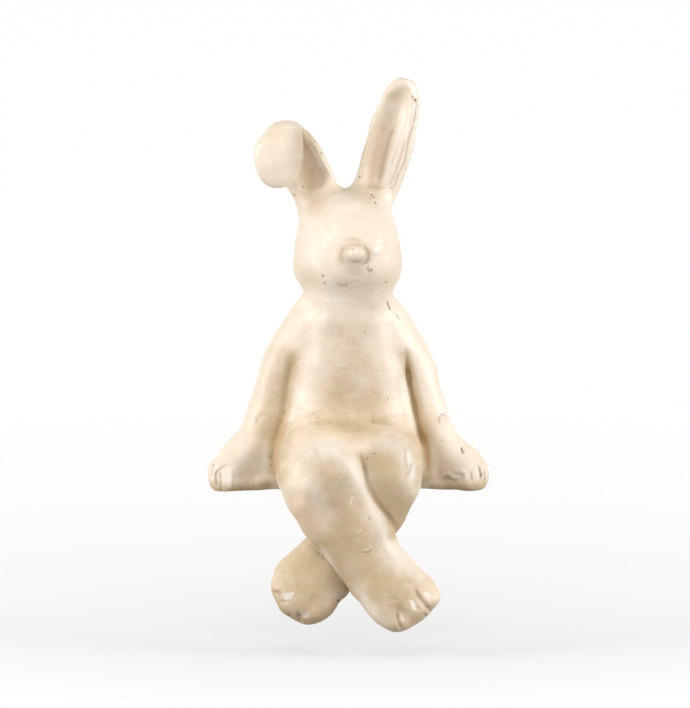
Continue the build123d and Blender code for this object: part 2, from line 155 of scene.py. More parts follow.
# Lines and ridges: sections, half width, depth, darkness, paleness, path
LINES = [
    # creases round the nose
    (
        "head nose", 1.1, 0.5, 0.4, 0,
        [
            (6.8, 108.9), (8.5, 106.8), (8.9, 104.5), (8.0, 101.8), (6.4, 100.4),
        ],
    ),
    ("head nose", 1.4, 0.2, 0.15, 0, [(-1.6, 108.2), (-3.0, 105.9), (-3.0, 103.2), (-1.6, 100.9)]),
    ("head", 0.8, -0.12, 0, 0.1, [(-0.7, 110.2), (2.0, 111.0), (5.2, 110.2)]),
    ("head", 0.8, 0.2, 0.2, 0, [(-1.1, 111.6), (2.0, 112.4), (5.7, 111.6)]),
    # raised bump beside the nose, its paleness a painted highlight
    ("head", 2.5, -0.55, 0, 0.9, [(12.2, 106.9)]),
    # nick below the nose
    ("head", 0.7, 0.4, 0.5, 0, [(8.6, 99.3), (9.3, 97.3)]),
    ("head", 0.8, -0.3, 0, 0.5, [(10.5, 98.6), (11.6, 98.2)]),
    # mouth
    ("head", 1.4, 0.3, 0.25, 0, [(-5.0, 92.3), (-3.4, 91.0), (-1.6, 91.1), (0.0, 92.4)]),
    ("head", 1.2, 0.15, 0.12, 0, [(1.6, 92.7), (3.4, 93.3), (5.2, 93.2)]),
    # cut rim and ribs of the upright ear
    (
        "upright_ear", 0.8, 0.45, 0.4, 0,
        [
            (30.7, 174.1), (30.2, 170.0), (29.3, 164.1), (27.5, 158.3), (26.5, 153.2), (25.5, 147.4),
            (23.2, 143.2), (21.1, 137.7), (19.3, 132.3),
        ],
    ),
    (
        "upright_ear", 1.6, -0.55, 0, 0.45,
        [
            (25.2, 170.4), (23.9, 163.8), (21.6, 155.0), (18.9, 146.3), (16.4, 137.7),
        ],
    ),
    ("upright_ear", 1.7, 0.3, 0.3, 0, [(20.7, 163.2), (18.4, 156.8), (15.9, 146.8), (13.2, 135.9)]),
    ("upright_ear", 1.4, 0.35, 0.3, 0, [(25.7, 157.7), (23.9, 150.9), (21.6, 143.6), (18.4, 135.9)]),
    # edge of the folded ear's stem
    (
        "folded_ear", 0.9, -0.6, 0, 0.35,
        [
            (-17.0, 157.3), (-14.5, 153.6), (-11.8, 148.6), (-9.3, 143.4), (-7.0, 139.1),
        ],
    ),
    # cracks beside the neck
    ("head torso", 0.55, 0.8, 1, 0, [(17.6, 84.1), (18.3, 82.3), (19.3, 80.4)]),
    ("torso left_arm head", 0.5, 0.4, 0.7, 0, [(21.8, 78.2), (22.9, 76.4)]),
    # scratches on the belly
    ("torso", 0.5, -0.15, 0, 0.4, [(-5.5, 54.8), (-3.4, 55.4), (-0.5, 55.9)]),
    ("torso", 0.6, 0.15, 0.35, 0, [(11.0, 33.2), (11.2, 28.9)]),
    ("torso", 0.9, 0.1, 0.2, 0, [(8.0, 30.9), (10.7, 30.0), (14.3, 30.5)]),
    # left arm: curl at the wrist, nick, squiggle and toes
    ("left_arm", 0.7, 0.25, 0.45, 0, [(40.9, 28.9), (41.0, 31.6), (42.5, 33.3), (44.2, 32.3)]),
    ("left_arm", 0.7, 0.7, 0.9, 0, [(51.1, 18.0), (51.9, 15.7)]),
    (
        "left_arm", 1.1, -0.7, 0, 0.4,
        [
            (42.3, 4.1), (43.4, 6.1), (45.5, 6.6), (47.0, 5.2), (48.6, 4.3), (50.7, 5.5),
        ],
    ),
    ("left_arm", 0.9, 0.5, 0.35, 0, [(42.5, 3.0), (44.3, 4.2), (46.1, 3.8), (48.4, 2.7)]),
    ("left_arm", 1.1, -0.5, 0, 0.3, [(49.5, 7.0), (51.6, 7.6), (53.2, 6.2), (53.0, 4.0), (51.4, 3.2)]),
    ("left_arm", 0.8, 0.4, 0.3, 0, [(48.8, 5.6), (50.6, 5.9), (51.6, 4.8)]),
    ("left_arm", 0.8, 0.8, 0.75, 0, [(59.2, 9.3), (59.9, 6.8), (60.0, 3.9)]),
    ("left_arm", 0.8, 0.8, 0.7, 0, [(61.9, 7.5), (62.2, 5.0), (61.8, 3.0)]),
    ("left_arm", 0.8, 0.35, 0.25, 0, [(55.2, 6.8), (55.7, 3.2)]),
    # right arm: toes, and a curl at the elbow
    ("right_arm", 0.9, 0.7, 0.6, 0, [(-59.4, 8.0), (-60.4, 5.5), (-59.8, 1.1)]),
    ("right_arm", 0.8, 0.25, 0.3, 0, [(-61.5, 8.4), (-62.2, 5.9)]),
    ("right_arm", 1.8, -0.3, 0, 0.1, [(-52.8, 8.6), (-53.3, 4.1), (-53.8, -0.5)]),
    ("right_arm", 1.6, 0.35, 0.15, 0, [(-38.4, 33.2), (-40.7, 31.8), (-42.0, 28.6)]),
    # front foot: slots between the toes
    ("front_leg", 1.5, 1.4, 0.3, 0, [(30.0, -46.1), (32.3, -49.3), (35.0, -52.5), (36.4, -55.4)]),
    ("front_leg", 1.4, 1.0, 0.3, 0, [(21.8, -56.4), (22.5, -59.5), (23.6, -63.6)]),
    ("front_leg", 0.8, -0.3, 0, 0.3, [(23.9, -57.3), (24.5, -60.4)]),
    ("front_leg", 1.5, 0.45, 0.1, 0.1, [(17.3, -51.1), (19.8, -50.0), (22.5, -50.7)]),
    # front leg: nicks
    ("front_leg", 0.55, -0.3, 0, 0.45, [(7.0, -28.5), (8.6, -28.1), (9.9, -27.5), (9.7, -25.7)]),
    ("front_leg", 0.5, 0.3, 0.6, 0, [(6.5, -29.4), (8.8, -29.1), (10.5, -28.0)]),
    ("front_leg", 0.45, -0.1, 0, 0.6, [(1.7, -4.3), (0.8, -7.7)]),
    ("front_leg", 0.5, -0.15, 0, 0.5, [(3.9, -20.0), (5.7, -19.3)]),
    # left knee: cracks and ridges
    ("rear_leg", 0.6, 0.25, 0.3, 0, [(25.5, 17.7), (25.6, 13.6), (26.1, 9.5)]),
    ("rear_leg", 0.6, -0.3, 0, 0.4, [(27.3, 18.2), (27.9, 14.5), (28.6, 11.4)]),
    ("rear_leg", 1.2, 0.6, 0.3, 0, [(28.9, 11.4), (27.8, 8.6), (26.8, 5.0)]),
    ("rear_leg", 0.8, -0.4, 0, 0.5, [(28.2, 12.7), (29.1, 9.5)]),
    # rear foot: slots between the toes
    ("rear_leg", 1.5, 1.2, 0.35, 0, [(-34.5, -47.0), (-32.5, -47.3), (-30.7, -47.5)]),
    ("rear_leg", 1.2, 0.55, 0.2, 0, [(-31.6, -51.4), (-28.4, -51.6), (-25.2, -50.0), (-23.4, -47.9)]),
    ("rear_leg", 1.2, 0.6, 0.3, 0, [(-22.5, -55.9), (-22.7, -58.2), (-21.4, -60.7)]),
    # rear leg: scratches under the crossing, and the crease behind the front leg, its darkness painted
    # shade
    ("rear_leg", 0.7, 0.3, 0.4, 0, [(-14.5, -25.5), (-13.6, -28.2), (-13.0, -31.4)]),
    ("rear_leg", 0.7, 0.25, 0.35, 0, [(-11.8, -29.5), (-11.0, -32.3)]),
    (
        "rear_leg", 2.0, 0.6, 0.3, 0,
        [
            (4.5, 14.0), (6.5, 10.5), (8.9, 2.0), (13.3, -6.9), (17.0, -12.0), (20.0, -17.0),
        ],
    ),
    # painted highlights: paler bands where the knees, shin, front foot, right cheek and left arm catch
    # the light
    ("front_leg", 6.5, 0, 0, 0.5, [(-14.5, 16.5), (-8.5, 18.5), (-3.0, 16.0)]),
    ("rear_leg", 5.5, 0, 0, 0.25, [(15.0, 20.0), (23.0, 18.0), (27.0, 11.0)]),
    ("front_leg", 2.4, 0, 0, 0.35, [(-13.0, -26.0), (-8.0, -34.0), (-1.5, -45.0)]),
    ("front_leg", 3.6, 0, 0, 0.4, [(0.0, 14.0), (3.0, 7.7), (7.5, -1.4), (13.0, -10.5), (16.5, -20.0)]),
    ("front_leg", 4.5, 0, 0, 0.3, [(19.0, -26.0), (28.0, -36.0), (33.0, -42.0)]),
    ("front_leg", 4.0, 0, 0, 0.3, [(3.0, -44.0), (8.0, -52.0), (13.0, -58.0)]),
    ("rear_leg", 2.6, 0, 0, 0.5, [(26.5, 17.0), (28.8, 10.0), (28.0, 3.0)]),
    ("head", 9.0, 0, 0, 0.3, [(-17.0, 112.0), (-17.0, 104.0)]),
    ("left_arm", 4.5, 0, 0, 0.3, [(36.0, 56.0), (41.0, 42.0), (46.0, 28.0)]),
]

# Pits in the glaze: across, up, radius
PITS = [
    (5.0, 140.7, 0.57), (19.5, 135.6, 0.47), (10.5, 132.7, 0.52), (11.4, 131.5, 0.42),
    (12.2, 129.1, 0.57), (9.8, 131.1, 0.37), (-12.5, 151.4, 0.57), (-24.6, 132.4, 0.52),
    (-20.7, 136.3, 0.47), (-11.6, 95.6, 0.57), (-10.7, 92.5, 0.42), (10.3, 98.4, 0.57),
    (1.9, 107.8, 0.31), (-61.6, 10.0, 0.47), (-35.4, 13.4, 0.47), (-34.9, 10.0, 0.42),
    (11.6, 15.6, 0.47), (8.3, 13.2, 0.47), (-29.3, 34.1, 0.42), (-28.2, 28.9, 0.37),
    (30.2, 175.5, 0.84), (29.1, 177.0, 0.52), (-4.6, -51.2, 0.68), (-22.1, -57.9, 0.57),
    (-26.8, -57.5, 0.52), (34.8, -57.3, 0.57), (9.3, -13.8, 0.47), (-32.2, 51.0, 0.37),
    (7.3, 70.0, 0.37), (17.7, 40.2, 0.37), (17.0, 39.1, 0.31), (-0.7, 33.4, 0.31), (15.7, 52.7, 0.26),
    (-15.7, 33.2, 0.37), (-14.0, 31.5, 0.31), (-17.2, 29.7, 0.31), (-11.8, 30.9, 0.31),
    (-13.0, 34.5, 0.26), (60.4, 5.7, 0.57), (58.9, 9.8, 0.37), (42.5, 21.1, 0.37), (17.0, 92.7, 0.47),
]

# Flat chips and facets: sections, depth, paleness, side that is deepest, outline. On the
# toes the paleness is partly a painted highlight on facets that face the light; on the
# upright ear it is the pale clay of chips.
FACETS = [
    ("front_leg", 1.5, 0.7, (0.7, -0.7), [(27.0, -49.9), (30.0, -50.9), (32.5, -55.2), (29.1, -55.0)]),
    ("front_leg", 1.4, 0.65, (0.7, -0.7), [(33.2, -47.1), (36.4, -46.4), (38.9, -48.9), (36.8, -50.7)]),
    ("front_leg", 0.6, 0.1, (-1, 0), [(24.8, -50.4), (27.0, -49.9), (29.1, -55.0), (25.5, -54.1)]),
    (
        "right_arm", 1.0, 0.2, (-1, 0),
        [
            (-58.9, 8.4), (-55.7, 10.5), (-52.8, 8.6), (-53.4, -1.5), (-57.9, -1.5),
        ],
    ),
    ("rear_leg", 1.3, 0.6, (0, -1), [(-30.0, -47.5), (-23.9, -46.9), (-26.1, -50.6), (-29.1, -50.5)]),
    ("rear_leg", 0.8, 0.5, (0, -1), [(-21.4, -56.7), (-16.8, -55.6), (-18.2, -58.4), (-20.9, -58.9)]),
    (
        "upright_ear", 0.5, 0.75, (1, 0),
        [
            (25.2, 184.7), (28.0, 184.7), (30.9, 181.3), (31.7, 176.3), (29.3, 176.3), (27.5, 181.3),
        ],
    ),
    ("upright_ear", 0.6, 0.8, (1, 0), [(29.5, 174.5), (31.4, 174.1), (30.5, 164.5), (29.1, 165.0)]),
]

# Washes of brown patina, some of them partly painted shade as noted: half width, strength,
# tone from light glaze over ochre to grey, path. A negative strength lightens the clay, a
# painted light on the shaded chin and paws.
WASHES_OF_PATINA_AND_PAINTED_LIGHT = [
    # chin: a negative wash, painted light on the shaded underside of the head
    (9, -0.45, 0.0, [(-8.4, 88.2), (0.7, 86.8), (10.7, 88.2)]),  # chin
    (5, 0.5, 0.9, [(3.0, 98.6)]),  # muzzle
    # round the nose
    (2.2, 0.4, 0.0, [(-3.4, 103.0), (-2.4, 107.6), (2.0, 110.8), (7.8, 108.2), (9.0, 104.0)]),
    (6, 0.5, -1.0, [(-19.8, 97.7), (-17.0, 91.4)]),  # right jaw
    (12, 0.5, 0.4, [(0.5, 66.0), (2.0, 56.0)]),  # chest
    (9, 0.15, 0.3, [(1.6, 78.4)]),  # neck
    # belly: patina, and painted shade on its middle that faces the front and under its overhang
    (9, 0.9, 0.3, [(-4.0, 42.0), (0.5, 35.5), (8.9, 37.3)]),  # belly
    (2.8, 0.5, -0.3, [(-13.0, 29.5), (-5.2, 27.3), (4.8, 26.8), (16.1, 29.5)]),  # fold
    (4.5, 0.35, -0.9, [(-22.0, 25.0), (1.6, 23.5), (10.7, 24.8), (24.0, 25.5)]),  # lap
    # the next three: patina, and painted shade on the fronts of the knees and the shin that turn away
    # from the lamps
    (7.5, 0.95, 0.6, [(-10.7, 9.6), (-7.5, 2.9)]),  # right knee
    (10, 1.3, 0.35, [(-3.0, -5.9), (0.7, -19.5), (6.1, -33.2), (13.4, -44.5), (21.1, -51.4)]),  # shin
    (8, 1.25, 0.6, [(17.0, 12.5), (19.0, 7.7), (20.0, -1.4), (22.0, -12.0)]),  # left knee
    # painted shade cast by the front leg on the rear knee
    (4.5, 1.6, 0.4, [(11.0, 11.0), (13.0, 8.0), (14.5, 2.0), (18.5, -5.5), (22.0, -13.0)]),
    # rear foot: patina, and painted shade where the front leg hides it
    (11, 1.9, 0.4, [(-9.5, -33.2), (-15.6, -42.3), (-18.8, -50.4)]),  # rear foot
    # rear sole
    (2.5, 0.8, 0.0, [(-35.5, -50.0), (-30.0, -57.0), (-22.0, -60.0), (-12.0, -59.0), (-3.0, -52.0)]),
    # under the crossing: painted shadow of the front leg on the rear foot
    (4, 0.9, 0.4, [(-13.0, -30.0), (-5.0, -41.0), (1.0, -48.0)]),  # under the crossing
    (8, 0.5, 0.3, [(14.0, -44.0), (24.0, -53.0)]),  # front foot
    # right hip: patina, and painted shade on the side of the hip
    (6, 0.5, -0.6, [(-27.0, 9.0), (-26.0, 1.0), (-22.0, -10.0)]),  # right hip
    (3, 0.5, -0.4, [(-26.0, 23.0), (-30.0, 13.0), (-31.0, 3.0)]),  # edge of the right hip
    (3, 0.5, -0.4, [(28.0, 23.0), (32.0, 13.0), (31.5, 3.0)]),  # edge of the left hip
    # right wrist and left palm: negative washes, painted light on paws that turn inward into shade
    (8, -0.2, -1.0, [(-50.0, 10.0), (-41.0, 6.0), (-36.0, 14.0)]),  # right wrist
    (7, -0.1, -1.0, [(39.0, 12.0), (44.0, 6.0), (53.0, 4.0)]),  # left palm
    (6, 0.3, -1.0, [(-37.0, 34.0), (-38.0, 24.0)]),  # right elbow
    (5, 0.35, -0.8, [(-24.0, -8.0), (-19.0, -18.0)]),  # side of the front leg
    (6, 0.5, -0.8, [(-24.0, -34.0), (-32.0, -42.0)]),  # side of the rear foot
    (5, 0.5, -0.8, [(30.0, -40.0), (38.0, -47.0)]),  # side of the front foot
    (5, 0.2, -1.0, [(-33.0, 158.0), (-30.0, 146.0)]),  # tip of the folded ear
    # right sole
    (1.8, 1.0, 0.2, [(-61.0, 1.5), (-57.0, -0.8), (-50.0, -1.5), (-42.0, -1.0), (-37.0, 0.5)]),
    (1.6, 1.0, 0.0, [(38.0, -0.5), (48.0, -1.0), (56.0, -0.5), (61.0, 1.5)]),  # left sole
    (4, 0.6, -0.8, [(17.5, 92.0), (15.0, 87.0)]),  # left jaw
    (2.2, 0.6, 0.0, [(28.9, -5.9), (24.5, -14.0), (19.8, -21.8)]),  # back of the rear leg
    (2.2, 0.5, 0.0, [(6.0, -57.0), (16.0, -64.5), (28.0, -61.5), (38.0, -54.0)]),  # front sole
    (6, 0.5, 0.4, [(21.6, 175.9), (18.0, 164.5), (15.2, 153.2), (12.0, 141.8)]),  # upright ear
    (4, 0.5, 0.5, [(10.7, 133.6), (5.2, 134.5), (-1.6, 135.0)]),  # between the ears
    # stem of the folded ear: patina, and painted shade under the flap
    (5.5, 1.2, 0.8, [(-19.3, 157.7), (-18.0, 148.6), (-16.6, 140.4)]),  # stem of the folded ear
    (5, 0.5, 0.3, [(-16.1, 132.7), (-17.5, 128.6)]),  # its root
    # groove beside the right arm, and painted shade on the arm's inner side along it
    (
        2.8, 1.1, 0.0,
        [
            (-25.4, 58.4), (-27.4, 48.6), (-29.0, 37.3), (-31.0, 27.5), (-33.5, 18.5), (-34.0, 8),
        ],
    ),
    (6, 0.4, 0.4, [(-29.4, 58.4), (-31.8, 46.6), (-34.0, 35.3), (-36.0, 25.5), (-38.0, 12.5)]),
    # groove beside the left arm, and painted shade on the arm's inner side along it
    (
        2.4, 0.9, 0.0,
        [
            (26.0, 60.1), (27.9, 52.1), (29.5, 45.0), (31.4, 37.3), (33.6, 28.5), (35.4, 18.5),
            (36, 5),
        ],
    ),
    (5, 0.4, 0.0, [(36.5, 26.0), (38.5, 12.5)]),
    (3, 0.6, 0.0, [(-60.0, -1.0), (-46.0, -1.0), (-37.3, 1.2)]),  # right paw
    (4, 0.55, 0.0, [(41.9, 4.1), (50.0, 1.0), (60.2, 0.4)]),  # left paw
    (2, 0.5, 0.0, [(42.5, 30.9)]),  # left wrist
]

# Small pushes of the whole form: place in the front view, sideways and upward move, reach
PUSHES = [
    (21.6, 121.4, -1.1, 0.0, 9.0), (24.3, 102.3, -0.5, 0.0, 8.0), (-60.2, 13.6, -1.2, 1.3, 6.0),
    (-49.3, -0.9, 0.0, -1.2, 8.0), (-42.0, -0.9, 0.0, -0.9, 8.0), (59.8, 0.0, 0.0, 0.7, 4.0),
    (58.4, 14.5, 1.2, 1.0, 6.0), (-23.4, -15.9, 0.9, 0.0, 4.5), (-29.8, -34.1, -1.9, 0.6, 8.0),
    (-35.7, -52.3, 3.2, 0.0, 6.5), (-20.7, -60.9, 0.0, -1.5, 7.0), (0.2, -47.7, 0.0, -1.5, 4.0),
    (16.6, -63.6, 0.0, 0.9, 6.0), (40.2, -54.5, -1.1, 0.0, 4.0), (28.0, -9.5, -1.7, 0.0, 6.5),
    (-26.6, 166.3, 0.3, 0.9, 7.0), (-39.8, 162.3, 0.9, -0.5, 5.0), (-34.8, 135.9, 0.0, -1.3, 6.0),
    (27.5, 149.5, 0.9, 0.0, 9.0), (25.7, 139.5, 0.7, 0.0, 7.0), (-7.0, 143.2, 0.6, 0.0, 6.0),
    (1.1, 137.3, -0.7, 0.0, 5.0),
]

# Lean to the figure's right, and flare of the paws to the front
ARM_LEAN = 0.9
CHEEK_LEAN = 0.8
PAW_FLARE = 3.2

# Where these set in and where they are full: across, up from below, down from above, ahead
ARM_ACROSS = (20, 34)
ARM_UP = (14, 32)
ARM_DOWN = (84, 66)
CHEEK_ACROSS = (-12, -24)
CHEEK_UP = (84, 98)
CHEEK_DOWN = (134, 120)
PAW_ACROSS = (34, 42)
PAW_DOWN = (7, 0)
PAW_AHEAD = (-1, -9)

# The shelf ends here, and what is behind this is flat underneath. The hands' unevenness
# sets in over the flat.
SHELF_EDGE = -21.5
FLAT_EDGE = (-0.5, 0.5)

# Unevenness left by the hands: shortest and longest wave, their number and height
UNEVEN_LENGTHS = (9, 24)
UNEVEN_WAVES = 26
UNEVEN_HEIGHT = 0.055
UNEVEN_SEED = 11

# How squarely the clay has to face the front for cut marks and for washes: none, all
CUTS_FACE = (0.12, 0.3)
WASHES_FACE = (-0.35, 0.3)

# The strongest wash, and the weakest that has a tone of its own
MOST_WASH = 2.0
LEAST_WASH = 0.05

# The share of a line's depth at its ends, and how fast it deepens along its length. A
# pressed groove starts from nothing.
END_SHARE = 0.35
END_RATE = 5
GROOVE_END_RATE = 6

# How far from its path each kind of mark is worked out, against its half width or radius
LINE_MARGIN = 1.6
PIT_MARGIN = 2
WASH_MARGIN = 2.3
GROOVE_MARGIN = 2

# The same for chips and pads, as a distance
CHIP_MARGIN = 1.0
PAD_MARGIN = 10

# A pit against its radius: rim, floor, depth
PIT_RIM = 1.25
PIT_FLOOR = 0.35
PIT_DEPTH = 0.8

# A chip's edge, from outside to inside: of its hollow and of its paleness
CHIP_EDGE = (-0.35, 0.6)
CHIP_SHINE = (-0.1, 0.5)

# Sizes of hollow that hold patina, and the farthest distance that counts for them
HOLLOW_SIZES = {"hollow_fine": 2.0, "hollow_wide": 5.0}
HOLLOW_LIMIT = 6

# Rings of the walls that close each section inside the clay: share of the way in, sink
WALL_RINGS = ((0.02, 1.2), (0.15, 2.6), (0.45, 2.2))

# Corners of a quad in the order of its edges
QUAD_EDGES = [0, 1, 1, 2, 2, 3, 3, 0]


def box_mesh(low, high):
    """Corners and triangles of a box."""
    ends = np.array((low, high), np.float32)
    corners = [(ends[i, 0], ends[j, 1], ends[k, 2]) for i, j, k in np.ndindex(2, 2, 2)]
    sides = [(0, 1, 3, 2), (4, 6, 7, 5), (0, 4, 5, 1), (2, 3, 7, 6), (0, 2, 6, 4), (1, 5, 7, 3)]
    triangles = [t for a, b, c, d in sides for t in ((a, b, c), (a, c, d))]
    return np.array(corners, np.float32), np.array(triangles, np.uint32)


def node_mesh(name):
    """Corners in millimetres and triangles of a CAD node, its hollow closed off."""
    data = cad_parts[name].data
    data.calc_loop_triangles()
    points = np.empty(len(data.vertices) * 3, np.float32)
    data.vertices.foreach_get("co", points)
    triangles = np.empty(len(data.loop_triangles) * 3, np.int32)
    data.loop_triangles.foreach_get("vertices", triangles)
    points = points.reshape(-1, 3) * MM
    triangles = triangles.reshape(-1, 3).astype(np.uint32)
    for low_corner, high_corner in STOPPERS.get(name, []):
        more, sides = box_mesh(low_corner, high_corner)
        triangles = np.vstack([triangles, sides + np.uint32(len(points))])
        points = np.vstack([points, more])
    return np.ascontiguousarray(points, np.float32), np.ascontiguousarray(triangles)


def distance_block(points, triangles):
    """Signed distance to a closed mesh on a block of the shared grid, and the block's first voxel."""
    transform = vdb.createLinearTransform(voxelSize=VOXEL)
    grid = vdb.FloatGrid.createLevelSetFromPolygons(
        points, triangles=triangles, transform=transform, halfWidth=REACH / VOXEL
    )
    first = np.floor((points.min(0) - REACH) / VOXEL).astype(int)
    last = np.ceil((points.max(0) + REACH) / VOXEL).astype(int)
    block = np.empty(tuple(last - first + 1), np.float32)
    grid.copyToArray(block, ijk=tuple(int(i) for i in first))
    return block, first


def soften(block, sigma, voxel=VOXEL, shrink=False):
    """Smooths a block of distances, by default without shrinking its round parts."""
    waves = [2 * math.pi * np.fft.fftfreq(n, voxel) for n in block.shape[:2]]
    waves.append(2 * math.pi * np.fft.rfftfreq(block.shape[2], voxel))
    square = sum(wave**2 for wave in np.meshgrid(*waves, indexing="ij", sparse=True))
    keep = np.exp(-square * sigma**2 / 2)
    if not shrink:
        keep = keep * (2 - keep)
    return np.fft.irfftn(np.fft.rfftn(block) * keep, block.shape).astype(np.float32)


def smooth_min(a, b, width):
    """Union of two distance fields with a fillet."""
    near = np.maximum(width - np.abs(a - b), 0) / width
    return np.minimum(a, b) - near * near * width / 4


def steps(first, count):
    """Places of voxels along one axis."""
    return ((first + np.arange(count)) * VOXEL).astype(np.float32)


def ease(value, low, high):
    """Smooth step from 0 at low to 1 at high."""
    share = np.clip((value - low) / (high - low), 0, 1)
    return share * share * (3 - 2 * share)


def view_height(y, z):
    """Height in the front view of places in the part's frame."""
    return z * math.cos(TILT) + y * math.sin(TILT)


def line_distance(x, h, path):
    """Distance in the front view from places to a line, and how far along the line they are."""
    best = np.hypot(x - path[0][0], h - path[0][1])
    along = np.full(best.shape, 0.5, np.float32)
    for i, ((ax, ah), (bx, bh)) in enumerate(zip(path, path[1:])):
        dx, dh = bx - ax, bh - ah
        share = np.clip(((x - ax) * dx + (h - ah) * dh) / (dx * dx + dh * dh), 0, 1)
        distance = np.hypot(x - ax - share * dx, h - ah - share * dh)
        near = distance <= best
        best = np.where(near, distance, best)
        along = np.where(near, (i + share) / (len(path) - 1), along)
    return best, along


# How wide each joint to the rest is smoothed, sideways and up the figure. The arms are
# cut in below the shoulders, and the front leg where it crosses the other.
JOINT = {
    "head": lambda x, z: 6.5,
    "right_arm": lambda x, z: 8.0 + 3.0 * ease(z, 44, 62),
    "left_arm": lambda x, z: 4.2 + 5.0 * ease(z, 50, 66),
    "rear_leg": lambda x, z: 4.0 + 6.0 * ease(z, -12, 6),
    "front_leg": lambda x, z: 1.6
    + 8.4 * np.maximum(ease(z, 17, 25), ease(x, -4, -16) * ease(z, -10, 6)),
    "upright_ear": lambda x, z: 5.0,
    "folded_ear": lambda x, z: 6.0,
    "nose": lambda x, z: 1.0,
    "tail": lambda x, z: 2.5,
}


def add_roll(block, first, start, end, radius, width):
    """A section's block of distances with a roll of clay worked into it."""
    spans = (steps(f, n) for f, n in zip(first, block.shape))
    places = np.meshgrid(*spans, indexing="ij", sparse=True)
    axis = np.array(end) - np.array(start)
    share = sum((v - a) * d for v, a, d in zip(places, start, axis)) / (axis @ axis)
    share = np.clip(share, 0, 1)
    square = sum((v - a - share * d) ** 2 for v, a, d in zip(places, start, axis))
    return smooth_min(block, np.sqrt(square) - radius, width).astype(np.float32)


blocks = {}
for name, sigma in SOFTEN.items():
    block, first = distance_block(*node_mesh(name))
    blocks[name] = (soften(block, sigma), first)
for name, *roll in ROLLS:
    block, first = blocks[name]
    blocks[name] = (add_roll(block, first, *roll), first)

low = np.floor(np.array(cad_low) * MM / VOXEL - REACH / VOXEL).astype(int)
high = np.ceil(np.array(cad_high) * MM / VOXEL + REACH / VOXEL).astype(int)
field = np.full(tuple(high - low + 1), REACH, np.float32)


def window(first, shape):
    """Slices of the whole field that a block covers."""
    return tuple(slice(int(f - l), int(f - l + n)) for f, l, n in zip(first, low, shape))


def room(low_place, high_place):
    """Slices of the whole field between two places, and its voxels' places along each axis."""
    first = np.maximum(np.floor(np.array(low_place) / VOXEL).astype(int), low)
    last = np.minimum(np.ceil(np.array(high_place) / VOXEL).astype(int), high)
    x, y, z = (steps(f, l - f + 1) for f, l in zip(first, last))
    return window(first, last - first + 1), x[:, None, None], y[None, :, None], z[None, None, :]


def join_sections():
    """Joins the sections in the whole field, each with its own width of joint."""
    block, first = blocks["torso"]
    field[window(first, block.shape)] = block
    for name, width in JOINT.items():
        block, first = blocks[name]
        part = window(first, block.shape)
        x, z = steps(first[0], block.shape[0])[:, None, None], steps(first[2], block.shape[2])
        field[part] = smooth_min(field[part], block, width(x, z))


def add_pad(middle, half, rounding, slope, width):
    """Works a rounded pad of clay over a joint."""
    reach = max(half) + PAD_MARGIN
    part, x, y, z = room(np.array(middle) - reach, np.array(middle) + reach)
    turn = math.radians(slope)
    x, y, z = x - middle[0], y - middle[1], z - middle[2]
    y, z = y * math.cos(turn) + z * math.sin(turn), z * math.cos(turn) - y * math.sin(turn)
    beyond = [np.abs(v) - (h - rounding) for v, h in zip((x, y, z), half)]
    outside = np.sqrt(sum(np.maximum(v, 0) ** 2 for v in beyond))
    inside = np.minimum(np.maximum(np.maximum(beyond[0], beyond[1]), beyond[2]), 0)
    field[part] = smooth_min(field[part], outside + inside - rounding, width)


def press_groove(reach, depth, path):
    """Presses a soft groove along a path into the front."""
    across, up = np.array(path).T
    margin = GROOVE_MARGIN * reach
    part, x, y, z = room(
        (across.min() - margin, AHEAD, up.min() - margin - SHIFT_DOWN),
        (across.max() + margin, GROOVE_SHOWS, up.max() + margin + SHIFT_UP),
    )
    distance, along = line_distance(x, view_height(y, z), path)
    fade = np.minimum(1, GROOVE_END_RATE * np.minimum(along, 1 - along))
    shown = ease(y, GROOVE_SHOWS, GROOVE_FULL)
    field[part] += depth * fade * np.exp(-((distance / reach) ** 2)) * shown


def open_vent():
    """Bores the vent hole up into the seat."""
    part, x, y, z = room(
        (-VENT_MARGIN, VENT_BACK - VENT_MARGIN, -VENT_SPARE),
        (VENT_MARGIN, VENT_BACK + VENT_MARGIN, VENT_DEPTH + VENT_SPARE),
    )
    bore = np.maximum(np.hypot(x, y - VENT_BACK) - VENT_RADIUS, z - VENT_DEPTH)
    field[part] = np.maximum(field[part], -bore)


join_sections()
for pad in PADS.values():
    add_pad(*pad)
for groove in PRESSED:
    press_groove(*groove)
open_vent()


def surface():
    """Corners in millimetres and quads of the surface of the whole field."""
    grid = vdb.FloatGrid(REACH)
    grid.transform = vdb.createLinearTransform(voxelSize=VOXEL)
    grid.copyFromArray(field, ijk=tuple(int(i) for i in low), tolerance=0.0)
    corners, _, quads = grid.convertToPolygons(isovalue=0.0, adaptivity=0.0)
    return np.asarray(corners, np.float64), np.asarray(quads, np.int64)


def sample(block, first, places, voxel=VOXEL, outside=REACH):
    """Values of a block at places in millimetres, mixed from the eight voxels around each."""
    place = places / voxel - first
    index = np.floor(place).astype(int)
    inside = np.all((index >= 0) & (index < np.array(block.shape) - 1), axis=1)
    out = np.full(len(places), outside, np.float32)
    index = index[inside]
    part = place[inside] - index
    total = np.zeros(len(index))
    for dx, dy, dz in np.ndindex(2, 2, 2):
        weight = (
            (part[:, 0] if dx else 1 - part[:, 0])
            * (part[:, 1] if dy else 1 - part[:, 1])
            * (part[:, 2] if dz else 1 - part[:, 2])
        )
        total += weight * block[index[:, 0] + dx, index[:, 1] + dy, index[:, 2] + dz]
    out[inside] = total
    return out


def grow(values, links):
    """Spreads the lowest value along the links until each loose shell has one."""
    while True:
        new = values.copy()
        np.minimum.at(new, links[:, 0], values[links[:, 1]])
        np.minimum.at(new, links[:, 1], values[links[:, 0]])
        new = new[new]
        if np.array_equal(new, values):
            return values
        values = new


